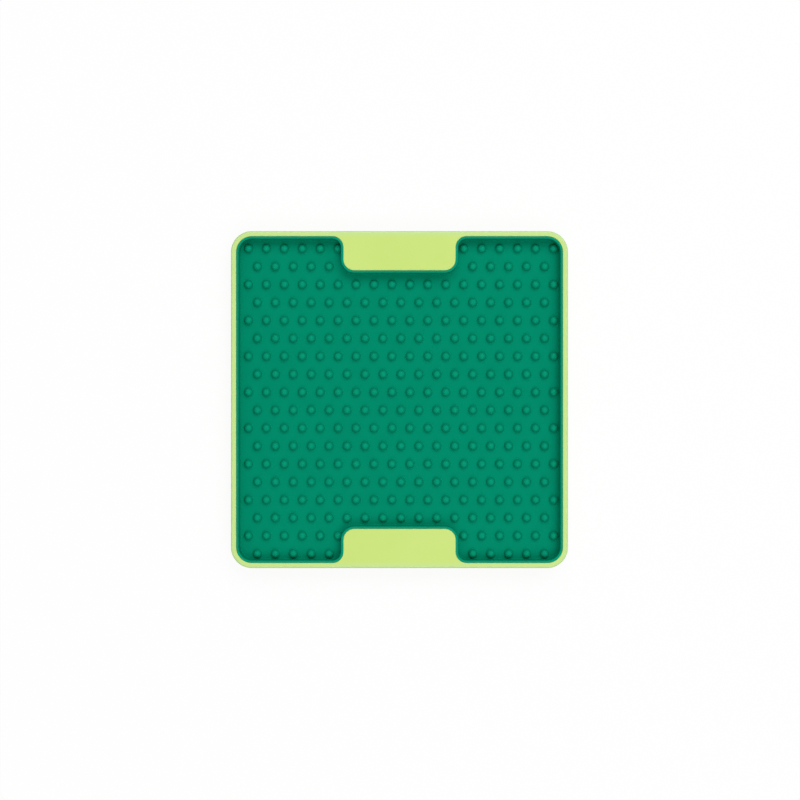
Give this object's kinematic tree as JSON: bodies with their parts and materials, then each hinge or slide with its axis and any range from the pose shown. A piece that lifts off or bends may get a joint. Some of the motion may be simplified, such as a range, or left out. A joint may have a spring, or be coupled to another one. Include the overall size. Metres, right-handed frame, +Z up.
{
  "type": "lick mat",
  "caption": "Square pet lick mat: a hard lime tray with two grip tabs, lined with a soft green rubber mat that carries a field of round studs.",
  "frame": {"origin": "on the ground, below the middle of the tray", "axes": "+Z up, out of the open side of the mat; +X to the right and +Y to the back in the picture, so that one grip tab is at +Y and the other at -Y"},
  "size_m": [0.2, 0.2, 0.015],
  "materials": {
    "tray_plastic": "satin moulded polypropylene",
    "mat_rubber": "soft satin thermoplastic rubber",
    "foot_rubber": "matte thermoplastic rubber"
  },
  "bodies": {
    "root": {"hard_tray": "tray_plastic", "soft_mat": "mat_rubber", "foot_front_left": "foot_rubber", "foot_front_right": "foot_rubber", "foot_back_left": "foot_rubber", "foot_back_right": "foot_rubber"}
  },
  "joints": []
}
